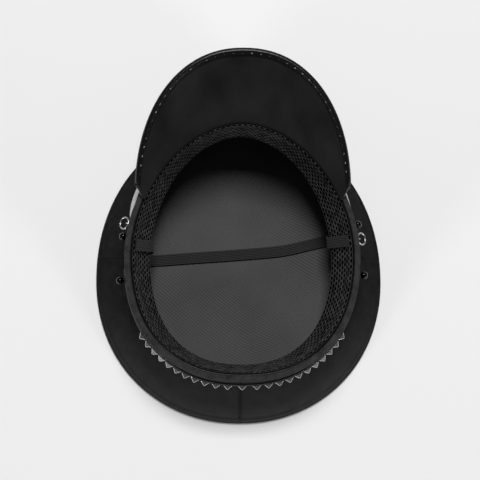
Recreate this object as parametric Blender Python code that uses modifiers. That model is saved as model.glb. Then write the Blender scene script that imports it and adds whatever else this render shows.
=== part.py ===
"""A black peaked cap that lies upside down on its crown, modelled in metres.

+Z is up, the peak points to -Y and +X is the wearer's right. The origin is the middle of the flat
crown top, the face that the cap lies on, so the hollow for the head opens upwards.
"""
import math

import bmesh
import bpy
from mathutils import Matrix, Vector

# The gap that neighbouring pieces keep
GAP = 0.0003

# The crown: a flat oval top with a rolled cord edge, widest at the origin
CROWN_WIDTH = 0.239
CROWN_FRONT = 0.135
CROWN_BACK = 0.1215
CROWN_FULLNESS = 2.09
TOP_THICKNESS = 0.0016
LINING_THICKNESS = 0.001
LINING_INSET = 0.009
PIPING_RADIUS = 0.0016
PIPING_COVER = 0.001
QUARTER_THICKNESS = 0.0015
QUARTER_LIFT = 0.0005
SEAM_ANGLE_CROWN = math.radians(84.5)
SEAM_ANGLE_BAND = math.radians(89.5)
SEAM_TURN = 0.0024

# The rim of the opening, measured over its cloth roll, and the band below it
RIM_WIDTH = 0.1865
RIM_FRONT = 0.110
RIM_BACK = 0.0993
RIM_FRONT_FULLNESS = 1.85
RIM_BACK_FULLNESS = 2.3
RIM_FORWARD = 0.0055
RIM_HEIGHT_FRONT = 0.092
RIM_HEIGHT_BACK = 0.070
BAND_HEIGHT = 0.045
BAND_THICKNESS = 0.0018
BAND_FLARE = math.radians(3)
ROLL_WALL = 0.0012
ROLL_OUTER_LEG = 0.0085
ROLL_INNER_LEG = 0.0065

# The padded mesh sweatband, which leans into the hollow
SWEATBAND_HEIGHT = 0.038
SWEATBAND_TOP = 0.0006
SWEATBAND_THICKNESS = 0.0021
SWEATBAND_LEAN_FRONT = 0.0035
SWEATBAND_LEAN_SIDES = 0.0125
SWEATBAND_LEAN_BACK = 0.0065

# The peak: a stiff board, the lining on its underside and a rolled edge
PEAK_WIDTH = 0.171
PEAK_LENGTH = 0.0455
PEAK_ROOT = 0.0500
PEAK_FULLNESS = 2.15
PEAK_RISE = math.radians(35)
PEAK_INNER_TURN = math.radians(64)
PEAK_OUTER_TURN = math.radians(86)
BOARD_THICKNESS = 0.0015
PEAK_LINING_THICKNESS = 0.0009
EDGE_WALL = 0.0009
EDGE_WIDTH = 0.0052

# The satin strap over the peak
FRONT_STRAP_TURN = math.radians(72)
FRONT_STRAP_TOP = 0.0100
FRONT_STRAP_WIDTH = 0.0265
FRONT_STRAP_THICKNESS = 0.0015
FRONT_STRAP_SPREAD = 0.0055
FRONT_STRAP_TOP_SPREAD = 0.0011
FRONT_STRAP_END_PULL = 8

# The studded strap round the back of the band
BACK_STRAP_TURN = math.radians(94.3)
BACK_STRAP_TOP = 0.0100
BACK_STRAP_WIDTH = 0.0110
BACK_STRAP_THICKNESS = 0.0016
BACK_STRAP_SPREAD = 0.0023
BACK_STRAP_LOOSE_TURN = math.radians(46)
STUD_COUNT = 23
STUD_TURN = math.radians(126)
STUD_BASE = 0.0074
STUD_HEIGHT = 0.0032
STUD_TIP = 0.0008

# Ball studs, rings and the staples that hold the rings
BALL_RADIUS = 0.0031
BALL_NECK = 0.0016
BALL_FOOT = 0.0026
RING_RADIUS = 0.0047
RING_WIRE = 0.0006
RING_HANG = math.radians(48)
STAPLE_WIRE = 0.0006
FITTING_DEPTH = 0.0150
RING_DEPTH = 0.0180

# The elastic chin strap, stowed across the hollow
CHIN_STRAP_WIDTH = 0.0094
CHIN_STRAP_THICKNESS = 0.0012
CHIN_STRAP_CLEAR = 0.00075
CHIN_STRAP_RIGHT_TURNS = (math.radians(85), math.radians(82.9))
CHIN_STRAP_LEFT_TURNS = (math.radians(82.6), math.radians(80.5))
CHIN_STRAP_STEPS = 3

# How finely the shapes are divided, and the step of turn that gives a direction along an outline
AROUND = 64
PEAK_COLUMNS = 33
PEAK_ROWS = 5
FRONT_STRAP_COLUMNS = 41
BACK_STRAP_COLUMNS = 41
ROLL_BEND_STEPS = 6
EDGE_BEND_STEPS = 7
STAPLE_BEND_STEPS = 7
RING_STEPS = 18
BALL_STEPS = 6
BALL_SIDES = 12
TURN_STEP = 0.01
DEPTH_STEP = 0.001

RIM_LENGTH = RIM_FRONT + RIM_BACK
RIM_TILT = math.atan((RIM_HEIGHT_FRONT - RIM_HEIGHT_BACK) / RIM_LENGTH)
RIM_MIDDLE_HEIGHT = RIM_HEIGHT_BACK + RIM_BACK * math.tan(RIM_TILT)
ROLL_WIDTH = 2 * ROLL_WALL + BAND_THICKNESS + 2 * GAP
BAND_FACE = -ROLL_WALL - GAP
PEAK_LAYERS = BOARD_THICKNESS + GAP + PEAK_LINING_THICKNESS
PEAK_SEAT = EDGE_WALL + 2 * GAP

CROWN = {"side": CROWN_WIDTH / 2, "front": CROWN_FRONT, "back": CROWN_BACK,
         "front_fullness": CROWN_FULLNESS, "back_fullness": CROWN_FULLNESS, "middle": 0.0}
RIM = {"side": RIM_WIDTH / 2, "front": RIM_FRONT, "back": RIM_BACK,
       "front_fullness": RIM_FRONT_FULLNESS, "back_fullness": RIM_BACK_FULLNESS, "middle": -RIM_FORWARD}
PEAK_EDGE = {"side": PEAK_WIDTH / 2, "front": RIM_FRONT + RIM_FORWARD + PEAK_LENGTH - PEAK_ROOT,
             "back": 0.0, "front_fullness": PEAK_FULLNESS, "back_fullness": PEAK_FULLNESS,
             "middle": -PEAK_ROOT}

# Columns: share of the way in from the crown's edge to the band, share of the climb to the band
QUARTER_SECTIONS = ((0.00, 0.00), (0.03, 0.10), (0.30, 0.37), (0.68, 0.72), (0.95, 0.94), (1.00, 1.00))

# Columns: share of the sweatband's height below the rim, share of its lean into the hollow
SWEATBAND_SECTIONS = ((0.00, 0.00), (0.35, 0.26), (0.70, 0.64), (1.00, 1.00))

# Shares of the sweatband's height at which the chin strap's two ends lie on it
CHIN_STRAP_STUB = (0.02, 0.30, 0.58, 0.80, 1.00)

# Columns: share of the half width at the sweatband's foot, towards the wearer's right, share of the
# rim's width behind the rim's middle, and share of the drop from the sweatband's foot to the lining
CHIN_STRAP_RUN = ((1.00, -0.0750, 0.20), (1.08, -0.0650, 0.46), (1.14, -0.0550, 0.74), (1.11, -0.0480, 0.94),
                  (1.00, -0.0478, 1.00), (0.82, -0.0525, 1.00), (0.50, -0.0620, 1.00), (0.00, -0.0760, 1.00),
                  (-0.50, -0.0948, 1.00), (-0.82, -0.1220, 1.00), (-1.00, -0.1385, 1.00),
                  (-1.11, -0.1390, 0.94), (-1.14, -0.1310, 0.74), (-1.08, -0.1200, 0.46),
                  (-1.00, -0.1080, 0.20))

# Columns: wearer's side, its sign in X, turn of the ring, of the ball beside it and of the side ball
FITTINGS = (("right", 1, 75.0, 81.0, 98.7), ("left", -1, 81.5, 75.5, 96.4))


def start_collection():
    """An empty scene with one collection for the cap."""
    for old in list(bpy.data.objects):
        bpy.data.objects.remove(old, do_unlink=True)
    collection = bpy.data.collections.new("peaked_cap")
    bpy.context.scene.collection.children.link(collection)
    return collection


COLLECTION = start_collection()


def material(name, colour, roughness, metallic=0.0):
    """A Principled material with one colour."""
    made = bpy.data.materials.new(name)
    made.use_nodes = True
    shader = made.node_tree.nodes["Principled BSDF"]
    shader.inputs["Base Color"].default_value = (*colour, 1)
    shader.inputs["Roughness"].default_value = roughness
    shader.inputs["Metallic"].default_value = metallic
    return made


def add_object(name, mesh, finish):
    """An object in the cap's collection, with its finish."""
    made = bpy.data.objects.new(name, mesh)
    COLLECTION.objects.link(made)
    made.data.materials.append(finish)
    return made


def add_loft(name, sections, finish, thickness, closed, inward=-1):
    """A wall of one thickness on the surface through a list of sections with equal point counts."""
    shape = bmesh.new()
    rows = [[shape.verts.new(point) for point in section] for section in sections]
    count = len(rows[0])
    for row, following in zip(rows, rows[1:]):
        for step in range(count if closed else count - 1):
            after = (step + 1) % count
            shape.faces.new((row[step], row[after], following[after], following[step]))
    mesh = bpy.data.meshes.new(name)
    shape.to_mesh(mesh)
    shape.free()
    mesh.shade_smooth()
    mesh.set_sharp_from_angle(angle=math.radians(50))
    made = add_object(name, mesh, finish)
    wall = made.modifiers.new("wall", "SOLIDIFY")
    wall.thickness = thickness
    wall.offset = inward
    wall.use_even_offset = True
    return made


def add_tube(name, points, radius, finish, closed):
    """A round tube along a list of points."""
    curve = bpy.data.curves.new(name, "CURVE")
    curve.dimensions = "3D"
    curve.bevel_depth = radius
    curve.bevel_resolution = 1
    curve.use_fill_caps = True
    spline = curve.splines.new("POLY")
    spline.points.add(len(points) - 1)
    for target, point in zip(spline.points, points):
        target.co = (*point, 1)
    spline.use_cyclic_u = closed
    return add_object(name, curve, finish)


def add_plate(name, outline, inset, bottom, thickness, finish):
    """A flat oval plate, its outline drawn in by the inset."""
    curve = bpy.data.curves.new(name, "CURVE")
    curve.dimensions = "2D"
    curve.fill_mode = "BOTH"
    curve.extrude = thickness / 2
    spline = curve.splines.new("POLY")
    spline.points.add(AROUND - 1)
    for step, target in enumerate(spline.points):
        x, y = oval(2 * math.pi * step / AROUND, outline, -inset)
        target.co = (x, y, 0, 1)
    spline.use_cyclic_u = True
    made = add_object(name, curve, finish)
    made.location.z = bottom + thickness / 2
    return made


def oval(turn, outline, grow=0.0):
    """The point of an outline at a turn from the front centre towards +X, moved outwards."""
    across, along = math.sin(turn), math.cos(turn)
    half = "front" if along > 0 else "back"
    reach = outline[half]
    power = 2 / outline[half + "_fullness"]
    x = math.copysign(abs(across) ** power, across) * (outline["side"] + grow)
    y = -math.copysign(abs(along) ** power, along) * (reach + grow)
    return x, y + outline["middle"]


def turns(first, last, count):
    """Evenly spaced turns from the first to the last."""
    return [first + (last - first) * step / (count - 1) for step in range(count)]


def rim_height(y):
    """The height of the rim's plane, which rises towards the front."""
    return RIM_MIDDLE_HEIGHT - (y + RIM_FORWARD) * math.tan(RIM_TILT)


def wall_point(turn, depth, outward, flare=BAND_FLARE):
    """A point beside the band, at a depth below the rim and outwards of the rim's outline."""
    x, y = oval(turn, RIM, outward + depth * math.tan(flare))
    down = Vector((0, -math.sin(RIM_TILT), -math.cos(RIM_TILT))) * depth
    return Vector((x, y, rim_height(y))) + down


def wall_frame(turn, depth, outward):
    """A point beside the band and the directions outwards, along the band and down there."""
    point = wall_point(turn, depth, outward)
    ahead = wall_point(turn + TURN_STEP, depth, outward)
    along = (ahead - wall_point(turn - TURN_STEP, depth, outward)).normalized()
    down = (wall_point(turn, depth + DEPTH_STEP, outward) - point).normalized()
    return point, down.cross(along).normalized(), along, down


def ring_of(depth, outward, flare=BAND_FLARE):
    """A closed section right round the band."""
    return [wall_point(2 * math.pi * step / AROUND, depth, outward, flare) for step in range(AROUND)]


def sweatband_point(turn, share, inward=0.0):
    """A point on the outer face of the sweatband, or inwards of it, at a share of its height."""
    for (low, low_lean), (high, high_lean) in zip(SWEATBAND_SECTIONS, SWEATBAND_SECTIONS[1:]):
        if share <= high:
            part = (share - low) / (high - low)
            lean_share = low_lean + part * (high_lean - low_lean)
            break
    end_lean = SWEATBAND_LEAN_FRONT if math.cos(turn) > 0 else SWEATBAND_LEAN_BACK
    lean = SWEATBAND_LEAN_SIDES * math.sin(turn) ** 2 + end_lean * math.cos(turn) ** 2
    outward = -ROLL_WIDTH - GAP - lean * lean_share - inward
    return wall_point(turn, SWEATBAND_TOP + share * SWEATBAND_HEIGHT, outward, 0.0)


def make_crown():
    """The flat top, the cord round its edge and the four quarters that climb to the band."""
    cloth = material("black_cloth", (0.013, 0.013, 0.014), 0.85)
    cord = material("black_cord", (0.016, 0.016, 0.017), 0.7)
    add_plate("crown_top", CROWN, 2 * PIPING_RADIUS + GAP, 0.0, TOP_THICKNESS, cloth)
    piping_height = PIPING_RADIUS + GAP
    edge = [oval(2 * math.pi * step / AROUND, CROWN, -PIPING_RADIUS) for step in range(AROUND)]
    add_tube("crown_piping", [(x, y, piping_height) for x, y in edge], PIPING_RADIUS, cord, True)

    foot = piping_height + PIPING_RADIUS + GAP + QUARTER_LIFT
    for name, side, front in (("quarter_front_right", 1, True), ("quarter_back_right", 1, False),
                              ("quarter_front_left", -1, True), ("quarter_back_left", -1, False)):
        crown_range = (0, SEAM_ANGLE_CROWN) if front else (SEAM_ANGLE_CROWN, math.pi)
        band_range = (0, SEAM_ANGLE_BAND) if front else (SEAM_ANGLE_BAND, math.pi)
        count = AROUND // 4 + 1
        crown_turns = turns(crown_range[0] + SEAM_TURN, crown_range[1] - SEAM_TURN, count)
        band_turns = turns(band_range[0] + SEAM_TURN, band_range[1] - SEAM_TURN, count)
        sections = []
        for inward, climb in QUARTER_SECTIONS:
            section = []
            for crown_turn, band_turn in zip(crown_turns, band_turns):
                x, y = oval(side * crown_turn, CROWN, -PIPING_COVER)
                low = Vector((x, y, foot))
                high = wall_point(side * band_turn, BAND_HEIGHT + GAP, BAND_FACE)
                flat = low.lerp(high, inward)
                section.append(Vector((flat.x, flat.y, low.z + (high.z - low.z) * climb)))
            sections.append(section if side > 0 else section[::-1])
        add_loft(name, sections, cloth, QUARTER_THICKNESS, False)


def make_crown_lining():
    """The woven lining that shows at the bottom of the hollow."""
    lining = material("ribbed_lining", (0.045, 0.045, 0.046), 0.6)
    add_plate("crown_lining", CROWN, LINING_INSET, TOP_THICKNESS + GAP, LINING_THICKNESS, lining)


def make_band():
    """The stiff oval wall, the cloth roll over its rim and the mesh sweatband inside."""
    cloth = material("band_cloth", (0.015, 0.015, 0.016), 0.8)
    mesh_finish = material("spacer_mesh", (0.04, 0.04, 0.041), 0.75)
    radius = ROLL_WIDTH / 2
    add_loft("hat_band", [ring_of(BAND_HEIGHT, BAND_FACE), ring_of(radius, BAND_FACE)],
             cloth, BAND_THICKNESS, True)

    profile = [(ROLL_OUTER_LEG, 0.0)]
    profile += [(radius - radius * math.sin(bend), radius * math.cos(bend) - radius)
                for bend in turns(0, math.pi, ROLL_BEND_STEPS)]
    profile += [(ROLL_INNER_LEG, -ROLL_WIDTH)]
    add_loft("rim_roll", [ring_of(depth, outward) for depth, outward in profile], cloth, ROLL_WALL, True)

    around = [2 * math.pi * step / AROUND for step in range(AROUND)]
    walls = [[sweatband_point(turn, section[0]) for turn in around] for section in SWEATBAND_SECTIONS]
    add_loft("sweatband", walls[::-1], mesh_finish, SWEATBAND_THICKNESS, True)


def peak_frame(turn):
    """Root and edge of the peak at a turn from -1 to 1, and its outward and upward directions there."""
    def ends(share):
        over_roll = ROLL_WIDTH / 2 * math.tan(PEAK_RISE) * (1 - share ** 2)
        root = wall_point(share * PEAK_INNER_TURN, over_roll - PEAK_SEAT, -ROLL_WIDTH, 0.0)
        x, y = oval(share * PEAK_OUTER_TURN, PEAK_EDGE)
        reach = math.hypot(x - root.x, y - root.y)
        return root, Vector((x, y, root.z + reach * math.tan(PEAK_RISE)))

    root, edge = ends(turn)
    outward = (edge - root).normalized()
    along = (ends(turn + TURN_STEP)[1] - ends(turn - TURN_STEP)[1]).normalized()
    return root, edge, outward, outward.cross(along).normalized()


def peak_sheet(top, inset):
    """Sections of the upper face of one layer of the peak, at a height above its lowest face."""
    sections = []
    for share in turns(0, 1, PEAK_ROWS):
        section = []
        for turn in turns(-1, 1, PEAK_COLUMNS):
            root, edge, outward, up = peak_frame(turn)
            section.append(root.lerp(edge - outward * inset, share) + up * top)
        sections.insert(0, section)
    return sections


def make_peak():
    """The board, the matt lining that faces up here, and the glossy roll round the edge."""
    patent = material("patent_board", (0.01, 0.01, 0.01), 0.25)
    lining = material("peak_lining", (0.018, 0.018, 0.018), 0.7)
    edge_finish = material("patent_edge", (0.012, 0.012, 0.012), 0.3)
    inset = EDGE_WALL + 2 * GAP + PEAK_LAYERS / 2
    add_loft("peak_board", peak_sheet(BOARD_THICKNESS, inset), patent, BOARD_THICKNESS, False)
    add_loft("peak_lining", peak_sheet(PEAK_LAYERS, inset), lining, PEAK_LINING_THICKNESS, False)

    half = PEAK_LAYERS / 2 + GAP + EDGE_WALL
    profile = [(-EDGE_WIDTH, half)]
    profile += [(half * math.sin(bend) - half, half * math.cos(bend))
                for bend in turns(0, math.pi, EDGE_BEND_STEPS)]
    profile += [(-EDGE_WIDTH, -half)]
    sections = []
    for along, height in profile:
        section = []
        for turn in turns(-1, 1, PEAK_COLUMNS):
            root, edge, outward, up = peak_frame(turn)
            section.append(edge + outward * along + up * (PEAK_LAYERS / 2 + height))
        sections.insert(0, section)
    add_loft("peak_edge", sections, edge_finish, EDGE_WALL, False)


def make_straps():
    """The satin strap above the peak, and the leather strap with its pyramid studs behind."""
    satin = material("satin_strap", (0.5, 0.5, 0.5), 0.35, 0.6)
    leather = material("black_leather", (0.012, 0.012, 0.012), 0.5)
    steel = material("bright_steel", (0.6, 0.6, 0.61), 0.2, 1.0)
    face = BAND_FACE + GAP + FRONT_STRAP_THICKNESS
    sections = []
    for share in (1.0, 0.5, 0.0):
        section = []
        spread = FRONT_STRAP_TOP_SPREAD + share * (FRONT_STRAP_SPREAD - FRONT_STRAP_TOP_SPREAD)
        for turn in turns(-FRONT_STRAP_TURN, FRONT_STRAP_TURN, FRONT_STRAP_COLUMNS):
            stand_off = spread * (1 - abs(turn / FRONT_STRAP_TURN) ** FRONT_STRAP_END_PULL)
            section.append(wall_point(turn, FRONT_STRAP_TOP + share * FRONT_STRAP_WIDTH, face + stand_off))
        sections.append(section)
    add_loft("front_strap", sections, satin, FRONT_STRAP_THICKNESS, False)

    strap_turns = turns(BACK_STRAP_TURN, 2 * math.pi - BACK_STRAP_TURN, BACK_STRAP_COLUMNS)
    sections = [[wall_point(turn, depth, back_strap_face(turn)) for turn in strap_turns]
                for depth in (BACK_STRAP_TOP + BACK_STRAP_WIDTH, BACK_STRAP_TOP)]
    add_loft("back_strap", sections, leather, BACK_STRAP_THICKNESS, False)

    middle = BACK_STRAP_TOP + BACK_STRAP_WIDTH / 2
    for index, turn in enumerate(turns(STUD_TURN, 2 * math.pi - STUD_TURN, STUD_COUNT)):
        name = f"pyramid_stud_{index + 1:02d}"
        shape = bmesh.new()
        bmesh.ops.create_cone(shape, cap_ends=True, segments=4, radius1=STUD_BASE / math.sqrt(2),
                              radius2=STUD_TIP / math.sqrt(2), depth=STUD_HEIGHT)
        bmesh.ops.rotate(shape, verts=shape.verts, matrix=Matrix.Rotation(math.pi / 4, 3, "Z"))
        mesh = bpy.data.meshes.new(name)
        shape.to_mesh(mesh)
        shape.free()
        stud = add_object(name, mesh, steel)
        set_on_wall(stud, turn, middle, back_strap_face(turn) + GAP + STUD_HEIGHT / 2)


def back_strap_face(turn):
    """How far out the back strap's outer face stands, with its loose middle a little off the band."""
    share = min(1.0, abs(abs(turn) - math.pi) / BACK_STRAP_LOOSE_TURN)
    return BAND_FACE + GAP + BACK_STRAP_THICKNESS + BACK_STRAP_SPREAD * (1 - share ** 2) ** 2


def set_on_wall(made, turn, depth, outward):
    """Stands an object on the band's face, with its Z outwards and its X along the band."""
    point, out, along, down = wall_frame(turn, depth, outward)
    side = out.cross(along).normalized()
    frame = Matrix((along, side, out)).transposed()
    made.location = point
    made.rotation_euler = frame.to_euler()


def add_ball(name, turn, depth, outward, finish):
    """A turned ball stud with a neck and a foot."""
    height = BALL_NECK / 2
    centre = height + math.sqrt(BALL_RADIUS ** 2 - BALL_NECK ** 2)
    lowest = math.asin(math.sqrt(BALL_RADIUS ** 2 - BALL_NECK ** 2) / BALL_RADIUS)
    profile = [(BALL_RADIUS * math.cos(rise), centre + BALL_RADIUS * math.sin(rise))
               for rise in turns(math.pi / 2, -lowest, BALL_STEPS)]
    profile[0] = (0.0, profile[0][1])
    profile += [(BALL_FOOT, height), (BALL_FOOT, 0.0), (0.0, 0.0)]
    mesh = bpy.data.meshes.new(name)
    links = [(index, index + 1) for index in range(len(profile) - 1)]
    mesh.from_pydata([(x, 0, z) for x, z in profile], links, [])
    made = add_object(name, mesh, finish)
    spin = made.modifiers.new("spin", "SCREW")
    spin.steps = BALL_SIDES
    spin.render_steps = BALL_SIDES
    spin.use_merge_vertices = True
    spin.merge_threshold = 0.00001
    set_on_wall(made, turn, depth, outward)
    return made


def make_fittings():
    """Ball studs, rings and staples at both sides of the band."""
    dark = material("black_nickel", (0.05, 0.05, 0.052), 0.15, 1.0)
    wire = material("ring_steel", (0.35, 0.35, 0.36), 0.3, 1.0)
    for side, sign, ring_turn, ball_turn, side_turn in FITTINGS:
        side_stud_turn = sign * math.radians(side_turn)
        on_strap = back_strap_face(side_stud_turn) + GAP
        add_ball(f"ring_stud_{side}", sign * math.radians(ball_turn), FITTING_DEPTH, BAND_FACE + GAP, dark)
        add_ball(f"side_stud_{side}", side_stud_turn, FITTING_DEPTH, on_strap, dark)

        loop = RING_WIRE + 2 * GAP + STAPLE_WIRE
        leg = 2 * RING_WIRE
        held, out, along, down = wall_frame(sign * math.radians(ring_turn), RING_DEPTH, BAND_FACE)
        feet = [held + out * GAP + down * loop * way for way in (1, -1)]
        bend = [held + out * (GAP + leg + loop * math.sin(step)) + down * loop * math.cos(step)
                for step in turns(0, math.pi, STAPLE_BEND_STEPS)]
        add_tube(f"ring_staple_{side}", [feet[0], *bend, feet[1]], STAPLE_WIRE, wire, False)

        hang = (out * math.cos(RING_HANG) + down * math.sin(RING_HANG)).normalized()
        centre = held + out * (GAP + leg + loop - STAPLE_WIRE - GAP - RING_WIRE) + hang * RING_RADIUS
        points = [centre - hang * RING_RADIUS * math.cos(step) + along * RING_RADIUS * math.sin(step)
                  for step in turns(0, 2 * math.pi, RING_STEPS + 1)[:-1]]
        add_tube(f"side_ring_{side}", points, RING_WIRE, wire, True)


def make_chin_strap():
    """The flat elastic, from the rim down the mesh, across the hollow and up to the rim again."""
    elastic = material("ribbed_elastic", (0.03, 0.03, 0.031), 0.75)
    slant = math.atan(SWEATBAND_LEAN_SIDES / SWEATBAND_HEIGHT)
    inward = (SWEATBAND_THICKNESS + CHIN_STRAP_THICKNESS / 2) / math.cos(slant) + CHIN_STRAP_CLEAR
    foot = sweatband_point(math.pi / 2, 1.0, inward)

    def stub(sign, end_turns):
        rows = []
        for share in CHIN_STRAP_STUB:
            turn = sign * (end_turns[0] + (end_turns[1] - end_turns[0]) * share)
            back = sweatband_point(turn - sign * TURN_STEP, share, inward)
            ahead = sweatband_point(turn + sign * TURN_STEP, share, inward)
            rows.append((sweatband_point(turn, share, inward), (ahead - back).normalized()))
        return rows

    lying = TOP_THICKNESS + GAP + LINING_THICKNESS + CHIN_STRAP_CLEAR + CHIN_STRAP_THICKNESS / 2
    run = [(Vector((share * foot.x, along * RIM_WIDTH - RIM_FORWARD, foot.z + drop * (lying - foot.z))),
            Vector((0, 1, 0)))
           for share, along, drop in CHIN_STRAP_RUN]
    route = stub(1, CHIN_STRAP_RIGHT_TURNS) + run + stub(-1, CHIN_STRAP_LEFT_TURNS)[::-1]
    centres = smooth_route([point for point, across in route], CHIN_STRAP_STEPS)
    widths = smooth_route([across for point, across in route], CHIN_STRAP_STEPS)
    sections = [[centre + across * (side * CHIN_STRAP_WIDTH / 2) for centre, across in zip(centres, widths)]
                for side in (-1, 1)]
    add_loft("chin_strap", sections, elastic, CHIN_STRAP_THICKNESS, False, 0)


def smooth_route(points, steps):
    """A smooth line through the points."""
    padded = [2 * points[0] - points[1], *points, 2 * points[-1] - points[-2]]
    line = []
    for before, start, end, after in zip(padded, padded[1:], padded[2:], padded[3:]):
        for step in range(steps):
            part = step / steps
            pull_in = (end - before) / 2
            pull_out = (after - start) / 2
            reached = part ** 2 * (3 - 2 * part)
            line.append(start.lerp(end, reached) + pull_in * part * (1 - part) ** 2
                        - pull_out * part ** 2 * (1 - part))
    return line + [points[-1]]


make_crown()
make_crown_lining()
make_band()
make_peak()
make_straps()
make_fittings()
make_chin_strap()
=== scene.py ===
"""Looks of a black peaked cap that lies upside down on its crown, with its hollow open upwards.

Metres, +Z up. The peak points to -Y, the wearer's right is +X, and the floor is at Z 0.
"""
import math

import bmesh
import bpy
from mathutils import Matrix, Vector


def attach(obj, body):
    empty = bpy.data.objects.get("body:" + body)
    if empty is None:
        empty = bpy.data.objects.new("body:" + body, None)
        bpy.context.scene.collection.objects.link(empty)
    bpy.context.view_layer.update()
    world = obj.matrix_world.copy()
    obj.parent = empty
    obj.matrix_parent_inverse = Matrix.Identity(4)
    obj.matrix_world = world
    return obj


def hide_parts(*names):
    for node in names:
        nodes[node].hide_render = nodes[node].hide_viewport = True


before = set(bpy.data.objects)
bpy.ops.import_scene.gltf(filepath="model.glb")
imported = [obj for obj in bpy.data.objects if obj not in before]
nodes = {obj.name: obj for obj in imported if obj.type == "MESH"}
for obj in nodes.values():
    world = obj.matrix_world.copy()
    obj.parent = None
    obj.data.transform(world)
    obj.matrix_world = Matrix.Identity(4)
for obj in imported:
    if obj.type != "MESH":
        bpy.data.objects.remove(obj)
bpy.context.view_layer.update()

# The camera stands almost straight above the cap, a little behind it, and looks towards the peak,
# which is then at the top of the picture with the wearer's right at its left.
LOOK_AT = Vector((0.0, -0.012, 0.06))
CAMERA_RISE = math.radians(79)
CAMERA_SIDE = math.radians(2.4)
CAMERA_ROLL = math.radians(-0.3)
CAMERA_DISTANCE = 1.2

towards = Vector((math.sin(CAMERA_SIDE), math.cos(CAMERA_RISE), math.sin(CAMERA_RISE))).normalized()
right = Vector((0, -1, 0)).cross(towards).normalized()
level = Matrix((right, towards.cross(right), towards)).transposed()
turned = level @ Matrix.Rotation(CAMERA_ROLL, 3, "Z")
bpy.ops.object.select_all(action="DESELECT")
bpy.ops.object.camera_add(location=LOOK_AT + towards * CAMERA_DISTANCE, rotation=turned.to_euler())
camera = bpy.context.object
camera.data.sensor_width = 36
camera.data.lens = 112
camera.data.shift_x = -0.0037
camera.data.shift_y = 0.0235
camera.data.clip_start = 0.05
bpy.context.scene.camera = camera
bpy.context.scene.view_settings.view_transform = "Standard"


# The studio: a wide sheet of matt white paper under the cap, an even white room, a soft light above
# the peak, which leaves the hollow's front in shadow, and two weak low ones from behind.
def linear(code):
    """The linear colour of an sRGB hex code."""
    parts = [int(code[start:start + 2], 16) / 255 for start in (1, 3, 5)]
    return (*[part / 12.92 if part <= 0.04045 else ((part + 0.055) / 1.055) ** 2.4 for part in parts], 1)


def add_node(material, kind, settings, inputs):
    """Adds a node to a material, with its settings, and sets or links its inputs."""
    node = material.node_tree.nodes.new(kind)
    for name, value in settings.items():
        setattr(node, name, value)
    for name, value in inputs.items():
        if isinstance(value, bpy.types.NodeSocket):
            material.node_tree.links.new(value, node.inputs[name])
        else:
            node.inputs[name].default_value = value
    return node


def start_material(name, **values):
    """A new material and its shader, with values for the shader's own sockets."""
    material = bpy.data.materials.new(name)
    material.use_nodes = True
    shader = material.node_tree.nodes["Principled BSDF"]
    for socket, value in values.items():
        shader.inputs[socket.replace("_", " ")].default_value = value
    return material, shader


def connect(material, output, shader, socket):
    """Links a node's output to a socket of the shader."""
    material.node_tree.links.new(output, shader.inputs[socket])


bpy.ops.object.select_all(action="DESELECT")
bpy.ops.mesh.primitive_plane_add(size=8, location=(0, 0, -0.0004))
floor = bpy.context.object
floor.name = "studio_floor"
# Uncoated paper: nearly white and quite matt
paper, paper_shader = start_material("uncoated_paper", Roughness=0.95, Specular_IOR_Level=0.1)
paper_grain = add_node(paper, "ShaderNodeTexNoise", {}, {"Scale": 6.0, "Detail": 3.0})
paper_tone = add_node(paper, "ShaderNodeMix", {"data_type": "RGBA"},
                      {0: paper_grain.outputs["Fac"], 6: linear("#ebebeb"), 7: linear("#f0f0f0")})
connect(paper, paper_tone.outputs[2], paper_shader, "Base Color")
floor.data.materials.append(paper)

room = bpy.data.worlds.new("white_room")
bpy.context.scene.world = room
room.use_nodes = True
room.node_tree.nodes["Background"].inputs["Color"].default_value = (1, 1, 1, 1)
room.node_tree.nodes["Background"].inputs["Strength"].default_value = 0.1

bpy.ops.object.light_add(type="AREA", location=(-0.05, -0.75, 2.1))
key_light = bpy.context.object
key_light.name = "softbox"
key_light.data.size = 0.65
key_light.data.energy = 42
key_light.rotation_euler = (Vector((0, 0, 0)) - key_light.location).to_track_quat("-Z", "Y").to_euler()

for side in (-1, 1):
    bpy.ops.object.light_add(type="AREA", location=(side * 1.1, 1.25, 0.42))
    low_light = bpy.context.object
    low_light.name = "low_softbox"
    low_light.data.size = 0.35
    low_light.data.energy = 9
    low_light.rotation_euler = (Vector((0, 0, 0.07)) - low_light.location).to_track_quat("-Z", "Y").to_euler()


# The crown: a flat oval of black wool blend with a cord of the same cloth round its edge, and four
# shaped quarters that climb from the cord to the band, sewn together front, back and sides.
GAP = 0.0003
CROWN = {"side": 0.1195, "front": 0.135, "back": 0.1215, "front_fullness": 2.09, "back_fullness": 2.09,
         "middle": 0.0}
RIM = {"side": 0.09325, "front": 0.110, "back": 0.0993, "front_fullness": 1.85, "back_fullness": 2.3,
       "middle": -0.0055}
RIM_HEIGHT_FRONT = 0.092
RIM_HEIGHT_BACK = 0.070
RIM_TILT = math.atan((RIM_HEIGHT_FRONT - RIM_HEIGHT_BACK) / (RIM["front"] + RIM["back"]))
RIM_MIDDLE_HEIGHT = RIM_HEIGHT_BACK + RIM["back"] * math.tan(RIM_TILT)
BAND_HEIGHT = 0.045
BAND_FLARE = math.radians(3)
ROLL_WALL = 0.0012
BAND_FACE = -ROLL_WALL - GAP
PIPING_RADIUS = 0.0016
PIPING_COVER = 0.001
QUARTER_THICKNESS = 0.0015
SEAM_CROWN = math.radians(84.5)
SEAM_BAND = math.radians(89.5)
SEAM_SINK = 0.0022
SEAM_SOFTNESS = 0.0011
SEAM_LIP = 0.0011
SEAM_CROWDING = 0.88
QUARTER_LENGTH = 0.18
PIPING_GROOVE = 0.085
PIPING_GROOVE_WIDTH = PIPING_GROOVE / 3
NEARBY_TURN = 0.01
PIPING_SINK = 0.0013

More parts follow.
